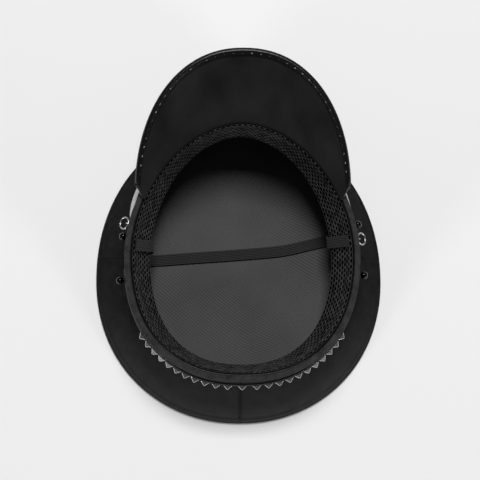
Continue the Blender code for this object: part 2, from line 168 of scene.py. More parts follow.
# Columns: share of the way in from the crown's edge to the band, share of the climb to the band
QUARTER_SECTIONS = ((0.00, 0.00), (0.03, 0.10), (0.30, 0.37), (0.68, 0.72), (0.95, 0.94), (1.00, 1.00))


def oval(turn, outline, grow=0.0):
    """The point of an outline at a turn from the front centre towards +X, moved outwards."""
    across, along = math.sin(turn), math.cos(turn)
    half = "front" if along > 0 else "back"
    reach = outline[half]
    power = 2 / outline[half + "_fullness"]
    x = math.copysign(abs(across) ** power, across) * (outline["side"] + grow)
    y = -math.copysign(abs(along) ** power, along) * (reach + grow)
    return x, y + outline["middle"]


def wall_point(turn, depth, outward, flare=BAND_FLARE):
    """A point beside the band, at a depth below the rim and outwards of the rim's outline."""
    x, y = oval(turn, RIM, outward + depth * math.tan(flare))
    height = RIM_MIDDLE_HEIGHT - (y - RIM["middle"]) * math.tan(RIM_TILT)
    return Vector((x, y, height)) + Vector((0, -math.sin(RIM_TILT), -math.cos(RIM_TILT))) * depth


def smooth_along(points, share):
    """The point at a share of a smooth line through evenly timed points."""
    place = min(share * (len(points) - 1), len(points) - 1.000001)
    index = int(place)
    part = place - index
    start, end = points[index], points[index + 1]
    before = points[index - 1] if index else 2 * start - end
    after = points[index + 2] if index + 2 < len(points) else 2 * end - start
    pull_in, pull_out = (end - before) / 2, (after - start) / 2
    return ((2 * part ** 3 - 3 * part ** 2 + 1) * start + (part ** 3 - 2 * part ** 2 + part) * pull_in
            + (-2 * part ** 3 + 3 * part ** 2) * end + (part ** 3 - part ** 2) * pull_out)


def add_sheet(name, columns, rows, place, flip=False, closed=False):
    """A grid primitive bent into place: place gives each vertex its point from its two shares."""
    bpy.ops.object.select_all(action="DESELECT")
    bpy.ops.mesh.primitive_grid_add(x_subdivisions=columns, y_subdivisions=rows, size=1)
    piece = bpy.context.object
    piece.name = name
    piece.data.name = name
    for vertex in piece.data.vertices:
        vertex.co = place(vertex.co.x + 0.5, vertex.co.y + 0.5)
    bpy.ops.object.mode_set(mode="EDIT")
    bpy.ops.mesh.select_all(action="SELECT")
    if closed:
        bpy.ops.mesh.remove_doubles(threshold=0.000001)
    if flip:
        bpy.ops.mesh.flip_normals()
    bpy.ops.object.mode_set(mode="OBJECT")
    bpy.ops.object.shade_smooth()
    return piece


def apply_modifier(piece, kind, **values):
    """Adds a modifier to a piece and applies it."""
    modifier = piece.modifiers.new(kind.lower(), kind)
    for name, value in values.items():
        setattr(modifier, name, value)
    bpy.context.view_layer.objects.active = piece
    bpy.ops.object.modifier_apply(modifier=modifier.name)


def set_up(piece, material, slot, *stands_for):
    """Gives a piece its finish unless it has one, hangs it on the root body and hides the parts it stands
    for.
    """
    if not piece.data.materials:
        piece.data.materials.append(material)
    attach(piece, "root")
    if stands_for:
        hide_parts(*stands_for)


def change_along(material, place, first, last, gain, value):
    """A value plus a gain that grows between two places along the cap."""
    apart = add_node(material, "ShaderNodeSeparateXYZ", {}, {"Vector": place.outputs["Object"]})
    share = add_node(material, "ShaderNodeMapRange", {"interpolation_type": "SMOOTHSTEP"},
                     {"Value": apart.outputs["Y"], "From Min": first, "From Max": last})
    return add_node(material, "ShaderNodeMath", {"operation": "MULTIPLY_ADD"},
                    {0: share.outputs[0], 1: gain, 2: value}).outputs[0]


def twill_material(name, thread_mm, dark, light, roughness, fuzz, painted_back_light=0.0):
    """Black twill: diagonal ribs of fine thread, faint mottling from pressing, and a little fuzz.

    A gain above 0 paints the cloth lighter towards the back of the cap, as painted light.
    """
    material, shader = start_material(name, Roughness=roughness, Specular_IOR_Level=0.05,
                                      Sheen_Weight=fuzz, Sheen_Roughness=0.5)
    place = add_node(material, "ShaderNodeTexCoord", {}, {})
    diagonal = add_node(material, "ShaderNodeMapping", {},
                        {"Vector": place.outputs["Object"], "Rotation": (0.6, 0.4, math.radians(38))})
    ribs = add_node(material, "ShaderNodeTexWave", {"wave_profile": "SIN"},
                    {"Vector": diagonal.outputs["Vector"], "Scale": 0.314 * 1000 / thread_mm,
                     "Distortion": 9.0, "Detail": 3.0, "Detail Scale": 1.5})
    fibres = add_node(material, "ShaderNodeTexNoise", {},
                      {"Vector": place.outputs["Object"], "Scale": 1000 / (thread_mm * 1.6),
                       "Detail": 4.0, "Roughness": 0.7})
    pressing = add_node(material, "ShaderNodeTexNoise", {},
                        {"Vector": place.outputs["Object"], "Scale": 130.0, "Detail": 4.0})
    weave = add_node(material, "ShaderNodeMath", {"operation": "MULTIPLY"},
                     {0: ribs.outputs["Fac"], 1: fibres.outputs["Fac"]})
    mottle = add_node(material, "ShaderNodeMath", {"operation": "MULTIPLY_ADD"},
                      {0: pressing.outputs["Fac"], 1: 1.8, 2: weave.outputs[0]}).outputs[0]
    # Painted light: the tone grows lighter from Y 0 to 0.11, towards the back of the cap
    if painted_back_light:
        mottle = change_along(material, place, 0.0, 0.11, painted_back_light, mottle)
    tone = add_node(material, "ShaderNodeMix", {"data_type": "RGBA", "clamp_factor": False},
                    {0: mottle, 6: linear(dark), 7: linear(light)})
    connect(material, tone.outputs[2], shader, "Base Color")
    relief = add_node(material, "ShaderNodeBump", {},
                      {"Height": weave.outputs[0], "Strength": 0.5, "Distance": thread_mm / 4000})
    connect(material, relief.outputs["Normal"], shader, "Normal")
    return material


# Wool blend twill: matt near-black ribs 0.5 mm apart, mottled, and painted lighter towards the back as
# painted light
wool = twill_material("wool_blend_twill", 0.5, "#020202", "#181818", 0.85, 0.0, 2.6)

quarter_foot = 2 * PIPING_RADIUS + 2 * GAP
section_points = [Vector((inward, climb, 0)) for inward, climb in QUARTER_SECTIONS]


def quarter_place(side, at_back, across, up):
    """A point of a quarter's outer face, sunk a little at its seams and beside the piping."""
    across -= SEAM_CROWDING * math.sin(2 * math.pi * across) / (2 * math.pi)
    low_start, low_end = (SEAM_CROWN, math.pi) if at_back else (0, SEAM_CROWN)
    high_start, high_end = (SEAM_BAND, math.pi) if at_back else (0, SEAM_BAND)
    x, y = oval(side * (low_start + (low_end - low_start) * across), CROWN, -PIPING_COVER)
    low = Vector((x, y, quarter_foot))
    high = wall_point(side * (high_start + (high_end - high_start) * across), BAND_HEIGHT + GAP, BAND_FACE)
    section = smooth_along(section_points, up)
    point = Vector((low.x + (high.x - low.x) * section.x, low.y + (high.y - low.y) * section.x,
                    low.z + (high.z - low.z) * section.y))
    from_seam = min(across, 1 - across) * QUARTER_LENGTH
    fade = math.sin(math.pi * up) ** 0.5
    sink = SEAM_SINK * math.exp(-(from_seam / SEAM_SOFTNESS) ** 2) * fade
    # At the side seams the back quarter's edge lies over the front one as a low lip
    if at_back == (across < 0.5):
        lip = SEAM_LIP if at_back else 0.0
        sink = -lip * math.exp(-((from_seam - SEAM_LIP) / SEAM_LIP) ** 2) * fade
    sink += PIPING_SINK * math.exp(-((section.x - PIPING_GROOVE) / PIPING_GROOVE_WIDTH) ** 2)
    outward = Vector((point.x, point.y, 0)).normalized() * 0.6 + Vector((0, 0, 0.8))
    return point - outward * sink


for name, side, at_back in (("quarter_front_right", 1, False), ("quarter_back_right", 1, True),
                            ("quarter_front_left", -1, False), ("quarter_back_left", -1, True)):
    quarter = add_sheet(name + "_cloth", 72, 64, lambda across, up: quarter_place(side, at_back, across, up),
                        flip=side < 0)
    apply_modifier(quarter, "SOLIDIFY", thickness=QUARTER_THICKNESS, offset=-1, use_even_offset=True)
    set_up(quarter, wool, "black_cloth", name)


def piping_place(around, across):
    """A point of the cord round the crown's edge."""
    x, y = oval(2 * math.pi * around, CROWN, -PIPING_RADIUS + PIPING_RADIUS * math.cos(2 * math.pi * across))
    return Vector((x, y, PIPING_RADIUS + GAP + PIPING_RADIUS * math.sin(2 * math.pi * across)))


piping = add_sheet("crown_piping_cord", 240, 12, piping_place, closed=True)
set_up(piping, wool, "black_cord", "crown_piping")
for slot in nodes["crown_top"].material_slots:
    slot.material = wool

# The lining at the bottom of the hollow: a thin ribbed cloth, stretched flat. Its fine ribs sweep in
# wide arcs and show as soft lighter and darker lines.
lining_cloth, lining_shader = start_material("ribbed_lining_cloth", Roughness=0.7, Specular_IOR_Level=0.15,
                                             Sheen_Weight=0.05)
lining_at = add_node(lining_cloth, "ShaderNodeTexCoord", {}, {})
# The ribs are 0.5 mm apart on the real cloth and drawn 2 mm apart
rib_centre = add_node(lining_cloth, "ShaderNodeMapping", {},
                      {"Vector": lining_at.outputs["Object"], "Rotation": (0, 0, math.radians(-62))})
lining_ribs = add_node(lining_cloth, "ShaderNodeTexWave", {"bands_direction": "X"},
                       {"Vector": rib_centre.outputs["Vector"], "Scale": 0.314 * 1000 / 2.0,
                        "Distortion": 70.0, "Detail": 0.0, "Detail Scale": 0.05})
lining_thread = add_node(lining_cloth, "ShaderNodeTexNoise", {},
                         {"Vector": lining_at.outputs["Object"], "Scale": 900.0, "Detail": 3.0})
lining_patch = add_node(lining_cloth, "ShaderNodeTexNoise", {},
                        {"Vector": lining_at.outputs["Object"], "Scale": 14.0, "Detail": 2.0})
lining_sum = add_node(lining_cloth, "ShaderNodeMath", {"operation": "MULTIPLY_ADD"},
                      {0: lining_thread.outputs["Fac"], 1: 0.5, 2: lining_patch.outputs["Fac"]})
lining_mix = add_node(lining_cloth, "ShaderNodeMath", {"operation": "MULTIPLY_ADD"},
                      {0: lining_ribs.outputs["Fac"], 1: 0.5, 2: lining_sum.outputs[0]})
lining_share = add_node(lining_cloth, "ShaderNodeMapRange", {},
                        {"Value": lining_mix.outputs[0], "From Min": 0.4, "From Max": 1.4})
lining_tone = add_node(lining_cloth, "ShaderNodeMix", {"data_type": "RGBA"},
                       {0: lining_share.outputs[0], 6: linear("#2e2e2e"), 7: linear("#4e4e4e")})
connect(lining_cloth, lining_tone.outputs[2], lining_shader, "Base Color")
lining_bump = add_node(lining_cloth, "ShaderNodeBump", {},
                       {"Height": lining_mix.outputs[0], "Strength": 0.35, "Distance": 0.0003})
connect(lining_cloth, lining_bump.outputs["Normal"], lining_shader, "Normal")
for slot in nodes["crown_lining"].material_slots:
    slot.material = lining_cloth

# The band: a stiff oval wall covered in the crown's cloth, its upper edge hidden in a smooth roll of
# closely woven cloth that is turned over the rim and sewn down on both sides.
BAND_THICKNESS = 0.0018
ROLL_WIDTH = 2 * ROLL_WALL + BAND_THICKNESS + 2 * GAP
ROLL_OUTER_LEG = 0.0085
ROLL_INNER_LEG = 0.0065
PUCKER = 0.00012
PUCKER_COUNT = 96
CREASE_DEPTH = 0.00035
CREASE_SOFTNESS = 0.02
CREASE_DRIFT = 0.02
CREASE_WAVES = 3

# Columns: place of a crease across the roll, how often it comes and goes round the rim
ROLL_CREASES = ((0.45, 7), (0.56, 5))


def band_place(around, up):
    """A point of the band's outer face."""
    depth = BAND_HEIGHT + (ROLL_WIDTH / 2 - BAND_HEIGHT) * up
    return wall_point(2 * math.pi * around, depth, BAND_FACE)


band = add_sheet("hat_band_wall", 240, 12, band_place, closed=True)
apply_modifier(band, "SOLIDIFY", thickness=BAND_THICKNESS, offset=-1, use_even_offset=True)
set_up(band, wool, "band_cloth", "hat_band")


def roll_place(around, across):
    """A point of the roll's outer face, from its outer foot over the rim to its inner foot."""
    radius = ROLL_WIDTH / 2
    bend_length = math.pi * radius
    walked = across * (ROLL_OUTER_LEG - radius + bend_length + ROLL_INNER_LEG - radius)
    if walked < ROLL_OUTER_LEG - radius:
        depth, outward = ROLL_OUTER_LEG - walked, 0.0
    elif walked < ROLL_OUTER_LEG - radius + bend_length:
        bend = (walked - ROLL_OUTER_LEG + radius) / radius
        depth, outward = radius - radius * math.sin(bend), radius * math.cos(bend) - radius
    else:
        depth, outward = walked - ROLL_OUTER_LEG - bend_length + 2 * radius, -ROLL_WIDTH
    pucker = PUCKER * math.sin(around * 2 * math.pi * PUCKER_COUNT) * math.sin(math.pi * across) ** 2
    for middle, folds in ROLL_CREASES:
        drift = middle + CREASE_DRIFT * math.sin(around * 2 * math.pi * CREASE_WAVES)
        pressed = 0.5 + 0.5 * math.sin(around * 2 * math.pi * folds)
        pucker -= CREASE_DEPTH * pressed * math.exp(-((across - drift) / CREASE_SOFTNESS) ** 2)
    return wall_point(2 * math.pi * around, depth - pucker, outward)


rim_roll = add_sheet("rim_roll_cloth", 480, 60, roll_place, closed=True)
apply_modifier(rim_roll, "SOLIDIFY", thickness=ROLL_WALL, offset=-1, use_even_offset=True)
# Cotton drill: a close weave that shines a little where it is pulled over the edge
drill = twill_material("cotton_drill", 1.5, "#020202", "#2c2c2c", 0.75, 0.02)
set_up(rim_roll, drill, "band_cloth", "rim_roll")

# The sweatband: padded spacer mesh that leans into the hollow below the rim. Thick grey yarn is
# knitted round staggered holes, 4.4 mm apart, over a black backing.
SWEATBAND_HEIGHT = 0.038
SWEATBAND_TOP = 0.0006
SWEATBAND_THICKNESS = 0.0021
BACKING_THICKNESS = 0.0004
BACKING_WALL = 0.00028
YARN_HEIGHT = 0.0017
LEAN_FRONT = 0.0035
LEAN_SIDES = 0.0125
LEAN_BACK = 0.0065
MESH_CELLS = 128
MESH_ROWS = 9
HOLE_MARGIN = 0.0007
SEWN_TOP_LEAN = 0.0006
SEWN_TOP_RISE = 0.0007

# Columns: share of the sweatband's height below the rim, share of its lean into the hollow
SWEATBAND_SECTIONS = ((0.00, 0.00), (0.35, 0.26), (0.70, 0.64), (1.00, 1.00))


def sweatband_point(turn, share, inward):
    """A point inwards of the sweatband's outer face, at a share of its height."""
    lean_share = SWEATBAND_SECTIONS[-1][1]
    for (low, low_lean), (high, high_lean) in zip(SWEATBAND_SECTIONS, SWEATBAND_SECTIONS[1:]):
        if share <= high:
            lean_share = low_lean + (share - low) / (high - low) * (high_lean - low_lean)
            break
    end_lean = LEAN_FRONT if math.cos(turn) > 0 else LEAN_BACK
    lean = LEAN_SIDES * math.sin(turn) ** 2 + end_lean * math.cos(turn) ** 2
    outward = -ROLL_WIDTH - GAP - lean * lean_share - inward
    return wall_point(turn, SWEATBAND_TOP + share * SWEATBAND_HEIGHT, outward, 0.0)


def even_turns(count, place):
    """Turns whose points, as place gives them, are equally far apart round a closed line."""
    fine = 3600
    walked = [0.0]
    points = [place(2 * math.pi * step / fine) for step in range(fine + 1)]
    for start, end in zip(points, points[1:]):
        walked.append(walked[-1] + (end - start).length)
    found, index = [], 0
    for step in range(count):
        goal = walked[-1] * step / count
        while walked[index + 1] < goal:
            index += 1
        part = (goal - walked[index]) / (walked[index + 1] - walked[index])
        found.append(2 * math.pi * (index + part) / fine)
    return found


backing = add_sheet("sweatband_backing", 240, 16, lambda around, down: sweatband_point(
    2 * math.pi * around, down, BACKING_THICKNESS), closed=True)
apply_modifier(backing, "SOLIDIFY", thickness=BACKING_WALL, offset=-1)

mesh_turns = even_turns(2 * MESH_CELLS, lambda turn: sweatband_point(turn, 0.5, SWEATBAND_THICKNESS))
net = add_sheet("sweatband_mesh", 2 * MESH_CELLS, MESH_ROWS, lambda around, down: Vector(
    (math.cos(2 * math.pi * around), math.sin(2 * math.pi * around), down)), closed=True)
bpy.ops.object.mode_set(mode="EDIT")
net_mesh = bmesh.from_edit_mesh(net.data)


def lattice_index(vertex):
    """The column and row of a vertex of the round grid."""
    turn = math.atan2(vertex.co.y, vertex.co.x) / (2 * math.pi)
    return round(turn * 2 * MESH_CELLS) % (2 * MESH_CELLS), round(vertex.co.z * MESH_ROWS)


places = {vertex: lattice_index(vertex) for vertex in net_mesh.verts}
for element in (*net_mesh.faces, *net_mesh.edges, *net_mesh.verts):
    element.select = False
for edge in net_mesh.edges:
    (column, row), (other_column, other_row) = (places[vertex] for vertex in edge.verts)
    if column == other_column and (column + min(row, other_row)) % 2:
        edge.select = True
for vertex, (column, row) in places.items():
    zigzag = 0.0 if row in (0, MESH_ROWS) else (1 if (column + row) % 2 == 0 else -1) / (6 * MESH_ROWS)
    inward, share = SWEATBAND_THICKNESS, row / MESH_ROWS + zigzag
    if row == 0:
        inward, share = inward - SEWN_TOP_LEAN, -SEWN_TOP_RISE / SWEATBAND_HEIGHT
    vertex.co = sweatband_point(mesh_turns[column], share, inward)
bmesh.update_edit_mesh(net.data)
bpy.ops.mesh.dissolve_edges(use_verts=False)
bpy.ops.mesh.select_all(action="SELECT")
bpy.ops.mesh.normals_make_consistent(inside=True)
bpy.ops.mesh.inset(thickness=HOLE_MARGIN, use_individual=True)
bpy.ops.mesh.delete(type="FACE")
bpy.ops.object.mode_set(mode="OBJECT")

# Polyester yarn: dull dark grey, with fine filaments that catch the light on the strands' tops
yarn, yarn_shader = start_material("knitted_polyester_yarn", Roughness=0.65, Specular_IOR_Level=0.2)
yarn_at = add_node(yarn, "ShaderNodeTexCoord", {}, {})
yarn_strands = add_node(yarn, "ShaderNodeTexNoise", {},
                        {"Vector": yarn_at.outputs["Object"], "Scale": 1100.0,
                         "Detail": 4.0, "Roughness": 0.7})
yarn_patch = add_node(yarn, "ShaderNodeTexNoise", {},
                      {"Vector": yarn_at.outputs["Object"], "Scale": 160.0, "Detail": 2.0})
yarn_share = add_node(yarn, "ShaderNodeMath", {"operation": "MULTIPLY"},
                      {0: yarn_strands.outputs["Fac"], 1: yarn_patch.outputs["Fac"]})
yarn_spread = add_node(yarn, "ShaderNodeMapRange", {},
                       {"Value": yarn_share.outputs[0], "From Min": 0.12, "From Max": 0.42})
yarn_tone = add_node(yarn, "ShaderNodeMix", {"data_type": "RGBA"},
                     {0: yarn_spread.outputs[0], 6: linear("#101010"), 7: linear("#525252")})
connect(yarn, yarn_tone.outputs[2], yarn_shader, "Base Color")
yarn_bump = add_node(yarn, "ShaderNodeBump", {},
                     {"Height": yarn_strands.outputs["Fac"], "Strength": 0.6, "Distance": 0.0004})
connect(yarn, yarn_bump.outputs["Normal"], yarn_shader, "Normal")
# Brushed jersey behind the holes: black and without shine. Its black is also painted on the holes' walls as
# painted shade
backing_black_and_hole_shade = twill_material("black_jersey_backing_and_hole_shade", 1.0, "#030303", "#0a0a0a", 0.95, 0.0)
# The holes' walls take the backing's black as painted shade, so that the holes read dark
net.data.materials.append(yarn)
net.data.materials.append(backing_black_and_hole_shade)
apply_modifier(net, "SOLIDIFY", thickness=YARN_HEIGHT, offset=-1, material_offset_rim=1)
apply_modifier(net, "SUBSURF", levels=1, render_levels=1)
bpy.ops.object.shade_smooth()
set_up(net, yarn, "spacer_mesh", "sweatband")
set_up(backing, backing_black_and_hole_shade, "spacer_mesh")

# The peak: a stiff board with a patent face, which points down here, a matt cloth on its underside,
# and a patent strip rolled round its edge and sewn through with one row of short stitches.
PEAK_LENGTH = 0.0455
PEAK_ROOT = 0.0500
PEAK_EDGE = {"side": 0.0855, "front": RIM["front"] - RIM["middle"] + PEAK_LENGTH - PEAK_ROOT, "back": 0.0,
             "front_fullness": 2.15, "back_fullness": 2.15, "middle": -PEAK_ROOT}
PEAK_RISE = math.radians(35)
PEAK_INNER_TURN = math.radians(64)
PEAK_OUTER_TURN = math.radians(86)
BOARD_THICKNESS = 0.0015
PEAK_LINING_THICKNESS = 0.0009
PEAK_LAYERS = BOARD_THICKNESS + GAP + PEAK_LINING_THICKNESS
EDGE_WALL = 0.0009
EDGE_WIDTH = 0.0052
PEAK_SEAT = EDGE_WALL + 2 * GAP
SEWN_INSET = 0.0016
SEWN_DEPTH = 0.00012
STITCH_PITCH = 0.0072
STITCH_LENGTH = 0.0017
STITCH_RADIUS = 0.00045
STITCHED_SHARE = 0.97
STITCH_STEPS = 1200


def peak_frame(turn):
    """Root and edge of the peak at a turn from -1 to 1, and its outward and upward directions there."""
    def ends(share):
        over_roll = ROLL_WIDTH / 2 * math.tan(PEAK_RISE) * (1 - share ** 2)
        root = wall_point(share * PEAK_INNER_TURN, over_roll - PEAK_SEAT, -ROLL_WIDTH, 0.0)
        x, y = oval(share * PEAK_OUTER_TURN, PEAK_EDGE)
        reach = math.hypot(x - root.x, y - root.y)
        return root, Vector((x, y, root.z + reach * math.tan(PEAK_RISE)))

    root, edge = ends(turn)
    outward = (edge - root).normalized()
    along = (ends(turn + NEARBY_TURN)[1] - ends(turn - NEARBY_TURN)[1]).normalized()
    return root, edge, outward, outward.cross(along).normalized()


def peak_layer(name, top, thickness):
    """One layer of the peak, with its upper face at a height above the board's lower face."""
    inset = EDGE_WALL + 2 * GAP + PEAK_LAYERS / 2

    def place(across, out):
        root, edge, outward, up = peak_frame(2 * across - 1)
        return root.lerp(edge - outward * inset, out) + up * top

    layer = add_sheet(name, 120, 24, place, flip=True)
    apply_modifier(layer, "SOLIDIFY", thickness=thickness, offset=-1)
    return layer


def edge_place(across, over):
    """A point of the rolled edge's outer face, from under the peak round to its upper side."""
    root, edge, outward, up = peak_frame(2 * across - 1)
    half = PEAK_LAYERS / 2 + GAP + EDGE_WALL
    leg = EDGE_WIDTH - half
    walked = over * (2 * leg + math.pi * half)
    if walked < leg:
        along, height = -EDGE_WIDTH + walked, -half
    elif walked < leg + math.pi * half:
        bend = (walked - leg) / half - math.pi / 2
        along, height = half * math.cos(bend) - half, half * math.sin(bend)
    else:
        along, height = -half - (walked - leg - math.pi * half), half
        height -= SEWN_DEPTH * math.exp(-((along + EDGE_WIDTH - SEWN_INSET) / SEWN_DEPTH) ** 2)
    return edge + outward * along + up * (PEAK_LAYERS / 2 + height)


peak_board = peak_layer("peak_board_patent", BOARD_THICKNESS, BOARD_THICKNESS)
peak_lining = peak_layer("peak_lining_cloth", PEAK_LAYERS, PEAK_LINING_THICKNESS)
peak_edge = add_sheet("peak_edge_roll", 160, 60, edge_place)
apply_modifier(peak_edge, "SOLIDIFY", thickness=EDGE_WALL, offset=-1)

# Patent leather: smooth black lacquer over leather, with faint ripples that break up its highlights
patent, patent_shader = start_material("black_patent_leather", Roughness=0.35, Specular_IOR_Level=0.2,
                                       Coat_Weight=0.05, Coat_Roughness=0.1)
patent_at = add_node(patent, "ShaderNodeTexCoord", {}, {})
patent_ripple = add_node(patent, "ShaderNodeTexNoise", {},
                         {"Vector": patent_at.outputs["Object"], "Scale": 420.0, "Detail": 3.0})
patent_tone = add_node(patent, "ShaderNodeMix", {"data_type": "RGBA"},
                       {0: patent_ripple.outputs["Fac"], 6: linear("#030303"), 7: linear("#0c0c0c")})
patent_bump = add_node(patent, "ShaderNodeBump", {},
                       {"Height": patent_ripple.outputs["Fac"], "Strength": 0.5, "Distance": 0.0006})
connect(patent, patent_tone.outputs[2], patent_shader, "Base Color")
connect(patent, patent_bump.outputs["Normal"], patent_shader, "Normal")

# Bonded cloth under the peak: very matt and even, with faint streaks where the glue pulled it
bonded, bonded_shader = start_material("bonded_peak_cloth", Roughness=0.8, Specular_IOR_Level=0.05)
bonded_at = add_node(bonded, "ShaderNodeTexCoord", {}, {})
bonded_stretch = add_node(bonded, "ShaderNodeMapping", {},
                          {"Vector": bonded_at.outputs["Object"], "Scale": (1.0, 0.45, 1.0)})
bonded_streak = add_node(bonded, "ShaderNodeTexNoise", {},
                         {"Vector": bonded_stretch.outputs["Vector"], "Scale": 42.0, "Detail": 4.0})
bonded_grain = add_node(bonded, "ShaderNodeTexNoise", {},
                        {"Vector": bonded_at.outputs["Object"], "Scale": 1400.0, "Detail": 2.0})
bonded_sum = add_node(bonded, "ShaderNodeMath", {"operation": "MULTIPLY_ADD"},
                      {0: bonded_grain.outputs["Fac"], 1: 0.35, 2: bonded_streak.outputs["Fac"]})
bonded_share = add_node(bonded, "ShaderNodeMapRange", {},
                        {"Value": bonded_sum.outputs[0], "From Min": 0.4, "From Max": 0.95})
bonded_tone = add_node(bonded, "ShaderNodeMix", {"data_type": "RGBA"},
                       {0: bonded_share.outputs[0], 6: linear("#111111"), 7: linear("#222222")})
connect(bonded, bonded_tone.outputs[2], bonded_shader, "Base Color")
bonded_bump = add_node(bonded, "ShaderNodeBump", {},
                       {"Height": bonded_sum.outputs[0], "Strength": 0.3, "Distance": 0.0003})
connect(bonded, bonded_bump.outputs["Normal"], bonded_shader, "Normal")

set_up(peak_board, patent, "patent", "peak_board")
set_up(peak_lining, bonded, "peak_lining", "peak_lining")
set_up(peak_edge, patent, "patent", "peak_edge")


def place_copy(pattern, name, point, x_axis, y_axis, z_axis):
    """A copy of a modelled piece with its own mesh, stood at a point with three directions."""
    made = pattern.copy()
    made.data = pattern.data.copy()
    made.name = name
    made.data.name = name
    bpy.context.collection.objects.link(made)
    turned_to = Matrix((x_axis, y_axis, z_axis)).transposed().to_4x4()
    made.data.transform(Matrix.Translation(point) @ turned_to)
    return made


def join_pieces(pieces, name):
    """Joins pieces into one."""
    bpy.ops.object.select_all(action="DESELECT")
    for piece in pieces:
        piece.select_set(True)
    bpy.context.view_layer.objects.active = pieces[0]
    bpy.ops.object.join()
    pieces[0].name = name
    pieces[0].data.name = name
    return pieces[0]


bpy.ops.object.select_all(action="DESELECT")
bpy.ops.mesh.primitive_uv_sphere_add(segments=8, ring_count=6, radius=1)
stitch = bpy.context.object
stitch.data.transform(Matrix.Diagonal((STITCH_LENGTH / 2, STITCH_RADIUS, STITCH_RADIUS, 1)))
bpy.ops.object.shade_smooth()
stitches = []
previous, walked = None, 0.0
for step in range(STITCH_STEPS + 1):
    root, edge, outward, up = peak_frame(STITCHED_SHARE * (2 * step / STITCH_STEPS - 1))
    half = PEAK_LAYERS / 2 + GAP + EDGE_WALL
    point = edge - outward * (EDGE_WIDTH - SEWN_INSET) + up * (PEAK_LAYERS / 2 + half - SEWN_DEPTH / 2)
    if previous is not None:
        walked += (point - previous).length
        if walked >= STITCH_PITCH:
            walked -= STITCH_PITCH
            along = (point - previous).normalized()
            side = up.cross(along).normalized()
            stitches.append(place_copy(stitch, "stitch", point, along, side, along.cross(side)))
    previous = point
bpy.data.objects.remove(stitch)
peak_stitches = join_pieces(stitches, "peak_stitches")
# Waxed thread: near-black, painted light grey in patches as painted highlights, so that only some stitches
# show bright glints
thread, thread_shader = start_material("waxed_thread", Roughness=0.3, Specular_IOR_Level=0.6)
thread_at = add_node(thread, "ShaderNodeTexCoord", {}, {})
thread_ply = add_node(thread, "ShaderNodeTexNoise", {},
                      {"Vector": thread_at.outputs["Object"], "Scale": 1500.0, "Detail": 2.0})
thread_glint_patches = add_node(thread, "ShaderNodeTexNoise", {},
                       {"Vector": thread_at.outputs["Object"], "Scale": 60.0, "Detail": 1.0})
thread_glint_share = add_node(thread, "ShaderNodeMapRange", {},
                       {"Value": thread_glint_patches.outputs["Fac"], "From Min": 0.42, "From Max": 0.6})
thread_share = add_node(thread, "ShaderNodeMath", {"operation": "MULTIPLY"},
                        {0: thread_glint_share.outputs[0], 1: thread_ply.outputs["Fac"]})
thread_tone = add_node(thread, "ShaderNodeMix", {"data_type": "RGBA"},
                       {0: thread_share.outputs[0], 6: linear("#0c0c0c"), 7: linear("#b4b4b4")})
connect(thread, thread_tone.outputs[2], thread_shader, "Base Color")
set_up(peak_stitches, thread, "patent")

# The front strap: a silver-grey satin ribbon over a stiff core, which lies on the band above the
# peak and stands off it a little. Only its two ends show beside the rim.
FRONT_STRAP_TURN = math.radians(72)
FRONT_STRAP_TOP = 0.0100
FRONT_STRAP_WIDTH = 0.0265
FRONT_STRAP_THICKNESS = 0.0015
FRONT_STRAP_SPREAD = 0.0055
FRONT_STRAP_TOP_SPREAD = 0.0011
FRONT_STRAP_END_PULL = 10
FRONT_STRAP_RIBS = 9
RIBBON_RIB = 0.00022
RIBBON_CORE_INSET = 0.0002


def front_strap_place(around, down):
    """A point of the ribbon's outer face, with fine ribs along it."""
    turn = FRONT_STRAP_TURN * (2 * around - 1)
    spread = FRONT_STRAP_TOP_SPREAD + down * (FRONT_STRAP_SPREAD - FRONT_STRAP_TOP_SPREAD)
    stand_off = spread * (1 - abs(2 * around - 1) ** FRONT_STRAP_END_PULL)
    rib = RIBBON_RIB * abs(math.sin(math.pi * FRONT_STRAP_RIBS * down))
    outward = BAND_FACE + GAP + FRONT_STRAP_THICKNESS + stand_off - RIBBON_CORE_INSET + rib
    return wall_point(turn, FRONT_STRAP_TOP + down * FRONT_STRAP_WIDTH, outward)


front_strap = add_sheet("front_strap_ribbon", 160, 54, front_strap_place, flip=True)
apply_modifier(front_strap, "SOLIDIFY", thickness=FRONT_STRAP_THICKNESS - RIBBON_CORE_INSET, offset=-1)
# Satin ribbon: long silver floats that shine along the strap, with fine dark lines between them
satin, satin_shader = start_material("silver_satin_ribbon", Roughness=0.34, Metallic=0.35,
                                     Sheen_Weight=0.2)
satin_at = add_node(satin, "ShaderNodeTexCoord", {}, {})
satin_stretch = add_node(satin, "ShaderNodeMapping", {},
                         {"Vector": satin_at.outputs["UV"], "Scale": (3.0, 40.0, 1.0)})
satin_floats = add_node(satin, "ShaderNodeTexNoise", {},
                        {"Vector": satin_stretch.outputs["Vector"], "Scale": 3.0, "Detail": 3.0})
satin_tone = add_node(satin, "ShaderNodeMix", {"data_type": "RGBA"},
                      {0: satin_floats.outputs["Fac"], 6: linear("#767676"), 7: linear("#c4c4c4")})
connect(satin, satin_tone.outputs[2], satin_shader, "Base Color")
satin_bump = add_node(satin, "ShaderNodeBump", {},
                      {"Height": satin_floats.outputs["Fac"], "Strength": 0.4, "Distance": 0.0002})
connect(satin, satin_bump.outputs["Normal"], satin_shader, "Normal")
set_up(front_strap, satin, "satin_strap", "front_strap")

# The back strap: black leather round the back of the band, set with a row of bright pyramid studs
# that are clenched through it.
BACK_STRAP_TURN = math.radians(94.3)
BACK_STRAP_TOP = 0.0100
BACK_STRAP_WIDTH = 0.0110
BACK_STRAP_THICKNESS = 0.0016
BACK_STRAP_SPREAD = 0.0023
BACK_STRAP_LOOSE_TURN = math.radians(46)
LEATHER_EDGE_DROP = 0.0004
STUD_COUNT = 23
STUD_TURN = math.radians(126)
STUD_BASE = 0.0074
STUD_HEIGHT = 0.0032
STUD_TIP = 0.0008
STUD_BEVEL = 0.0004


